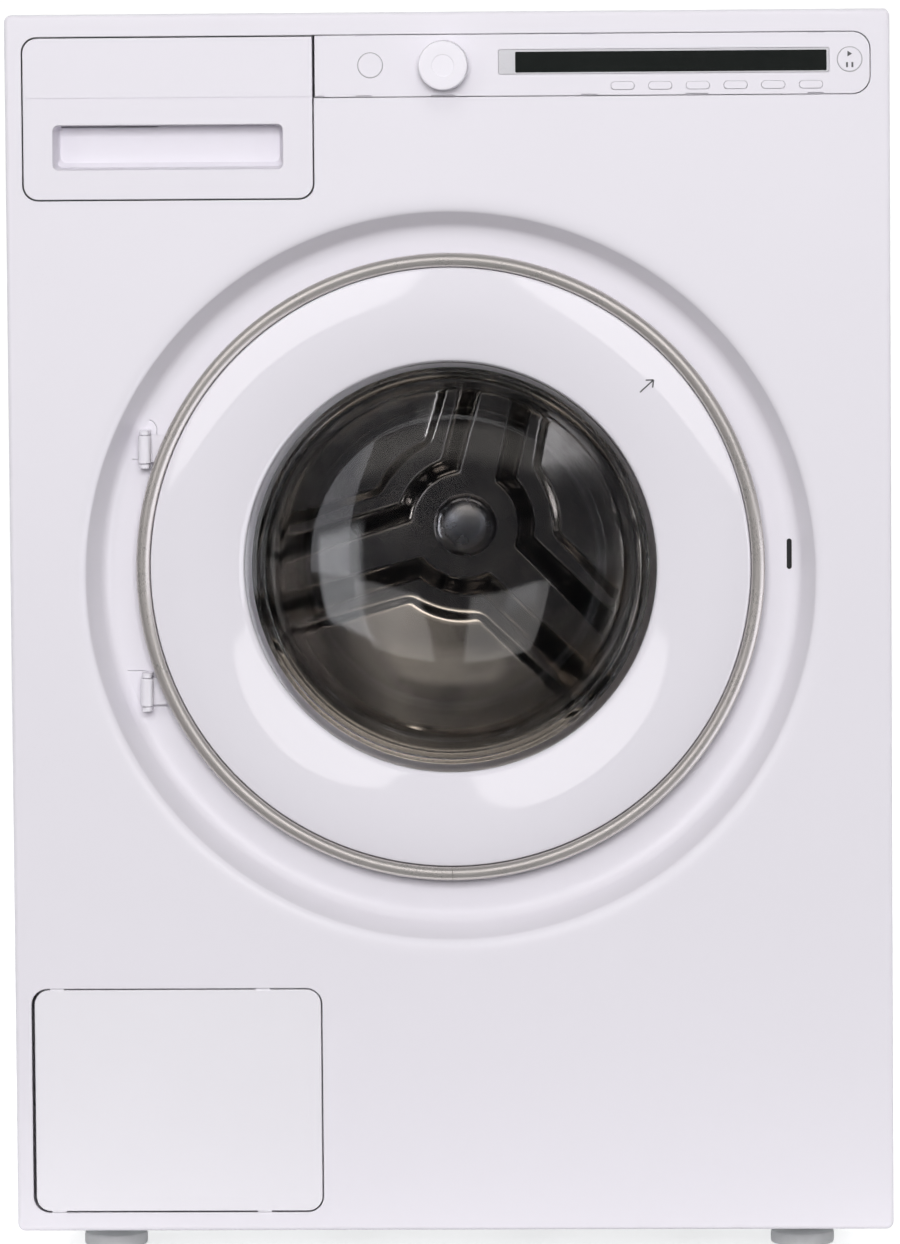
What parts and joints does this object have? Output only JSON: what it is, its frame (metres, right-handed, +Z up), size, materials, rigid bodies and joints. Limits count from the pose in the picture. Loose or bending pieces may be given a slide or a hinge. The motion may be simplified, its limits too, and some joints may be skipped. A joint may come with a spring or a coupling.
{
  "type": "front-loading washing machine",
  "caption": "Front-loading washing machine with a recessed round glass door, a detergent drawer, a control strip and a service hatch.",
  "frame": {"origin": "on the floor under the middle of the cabinet", "axes": "+Z up, -Y towards the front, +X towards the right side seen from the front"},
  "size_m": [0.595, 0.618, 0.85],
  "materials": {
    "white_enamel": "smooth white enamel, satin gloss",
    "hinge_enamel": "white powder coat",
    "white_plastic": "satin white moulding",
    "knob_plastic": "satin white moulding",
    "door_white": "high gloss white",
    "display_black": "smoked black window",
    "tray_plastic": "pale grey moulding",
    "grey_plastic": "grey moulding",
    "black_plastic": "black moulding",
    "black_rubber": "matt black rubber",
    "foot_rubber": "black foot with a rubber sole",
    "stainless_steel": "plain stainless sheet",
    "drum_steel": "polished stainless sheet",
    "trim_steel": "fine brushed steel",
    "zinc_plate": "zinc plated sheet",
    "heater_steel": "drawn steel tube",
    "cast_aluminium": "as cast",
    "ballast_iron": "painted cast iron",
    "door_glass": "clear pressed glass"
  },
  "bodies": {
    "cabinet": {"front_panel": "white_enamel", "cabinet_shell": "white_enamel", "worktop": "white_enamel", "back_cover": "zinc_plate", "base_pan": "zinc_plate", "foot_front_left": "foot_rubber", "foot_front_right": "foot_rubber", "foot_rear_left": "foot_rubber", "foot_rear_right": "foot_rubber", "control_fascia": "white_plastic", "display_window": "display_black", "drawer_housing": "grey_plastic", "hatch_frame": "white_plastic", "drain_pump": "grey_plastic", "inlet_valve": "grey_plastic", "drain_outlet": "grey_plastic", "cable_gland": "black_plastic", "door_lock": "black_plastic", "hinge_bracket": "hinge_enamel", "sump_hose": "black_rubber", "damper_cylinder_front_left": "black_plastic", "damper_cylinder_front_right": "black_plastic", "damper_cylinder_rear_left": "black_plastic", "damper_cylinder_rear_right": "black_plastic"},
    "tub": {"tub_shell": "grey_plastic", "tub_front": "grey_plastic", "front_counterweight": "ballast_iron", "motor": "cast_aluminium", "heating_element": "heater_steel", "drive_belt": "black_rubber", "damper_rod_front_left": "zinc_plate", "damper_rod_front_right": "zinc_plate", "damper_rod_rear_left": "zinc_plate", "damper_rod_rear_right": "zinc_plate"},
    "drum": {"drum_shell": "drum_steel", "drum_lifter_1": "drum_steel", "drum_lifter_2": "drum_steel", "drum_lifter_3": "drum_steel", "drum_shaft": "cast_aluminium", "drum_pulley": "cast_aluminium"},
    "motor_rotor": {"motor_pulley": "zinc_plate"},
    "door": {"door_trim_ring": "trim_steel", "door_front_ring": "door_white", "door_glass": "door_glass", "door_inner_frame": "grey_plastic", "door_seal": "black_rubber", "door_hinge_leaf": "zinc_plate"},
    "drawer": {"drawer_front": "white_plastic", "drawer_tray": "tray_plastic"},
    "hatch": {"service_hatch": "white_enamel"},
    "filter": {"pump_filter": "tray_plastic"},
    "knob": {"program_knob": "knob_plastic"},
    "power_key": {"power_button": "white_plastic"},
    "start_key": {"start_button": "white_plastic"},
    "option_key_1": {"option_button_1": "white_plastic"},
    "option_key_2": {"option_button_2": "white_plastic"},
    "option_key_3": {"option_button_3": "white_plastic"},
    "option_key_4": {"option_button_4": "white_plastic"},
    "option_key_5": {"option_button_5": "white_plastic"},
    "option_key_6": {"option_button_6": "white_plastic"}
  },
  "joints": [
    {"name": "tub_suspension", "type": "slide", "parent": "cabinet", "child": "tub", "axis": [0, 0, 1], "range_m": [-0.01, 0.008], "stiffness_N_per_m": 30000, "springref_m": 0.01155, "deforming": ["sump_hose"]},
    {"name": "drum_spin", "type": "hinge", "parent": "tub", "child": "drum", "pos_m": [0, 0.1125, 0.475], "axis": [0, -1, 0], "continuous": true},
    {"name": "motor_spin", "type": "hinge", "parent": "tub", "child": "motor_rotor", "pos_m": [0.07, 0.2195, 0.125], "axis": [0, -1, 0], "continuous": true},
    {"name": "door_hinge", "type": "hinge", "parent": "cabinet", "child": "door", "pos_m": [-0.2065, -0.28, 0.475], "axis": [0, 0, -1], "range_deg": [0, 118]},
    {"name": "drawer_pull", "type": "slide", "parent": "cabinet", "child": "drawer", "axis": [0, -1, 0], "range_m": [0, 0.23]},
    {"name": "hatch_hinge", "type": "hinge", "parent": "cabinet", "child": "hatch", "pos_m": [-0.2688, -0.285, 0.11375], "axis": [0, 0, -1], "range_deg": [0, 110]},
    {"name": "filter_turn", "type": "hinge", "parent": "cabinet", "child": "filter", "pos_m": [-0.15, -0.2625, 0.108], "axis": [0, -1, 0], "range_deg": [0, 270]},
    {"name": "knob_turn", "type": "hinge", "parent": "cabinet", "child": "knob", "pos_m": [-0.0018, -0.2925, 0.8141], "axis": [0, -1, 0], "continuous": true},
    {"name": "power_press", "type": "slide", "parent": "cabinet", "child": "power_key", "axis": [0, 1, 0], "range_m": [0, 0.0012], "stiffness_N_per_m": 600, "springref_m": -0.001},
    {"name": "start_press", "type": "slide", "parent": "cabinet", "child": "start_key", "axis": [0, 1, 0], "range_m": [0, 0.0012], "stiffness_N_per_m": 600, "springref_m": -0.001},
    {"name": "option_press_1", "type": "slide", "parent": "cabinet", "child": "option_key_1", "axis": [0, 1, 0], "range_m": [0, 0.0012], "stiffness_N_per_m": 600, "springref_m": -0.001},
    {"name": "option_press_2", "type": "slide", "parent": "cabinet", "child": "option_key_2", "axis": [0, 1, 0], "range_m": [0, 0.0012], "stiffness_N_per_m": 600, "springref_m": -0.001},
    {"name": "option_press_3", "type": "slide", "parent": "cabinet", "child": "option_key_3", "axis": [0, 1, 0], "range_m": [0, 0.0012], "stiffness_N_per_m": 600, "springref_m": -0.001},
    {"name": "option_press_4", "type": "slide", "parent": "cabinet", "child": "option_key_4", "axis": [0, 1, 0], "range_m": [0, 0.0012], "stiffness_N_per_m": 600, "springref_m": -0.001},
    {"name": "option_press_5", "type": "slide", "parent": "cabinet", "child": "option_key_5", "axis": [0, 1, 0], "range_m": [0, 0.0012], "stiffness_N_per_m": 600, "springref_m": -0.001},
    {"name": "option_press_6", "type": "slide", "parent": "cabinet", "child": "option_key_6", "axis": [0, 1, 0], "range_m": [0, 0.0012], "stiffness_N_per_m": 600, "springref_m": -0.001}
  ],
  "couplings": [
    {"joint": "motor_spin", "follows": "drum_spin", "ratio": 13.636}
  ]
}
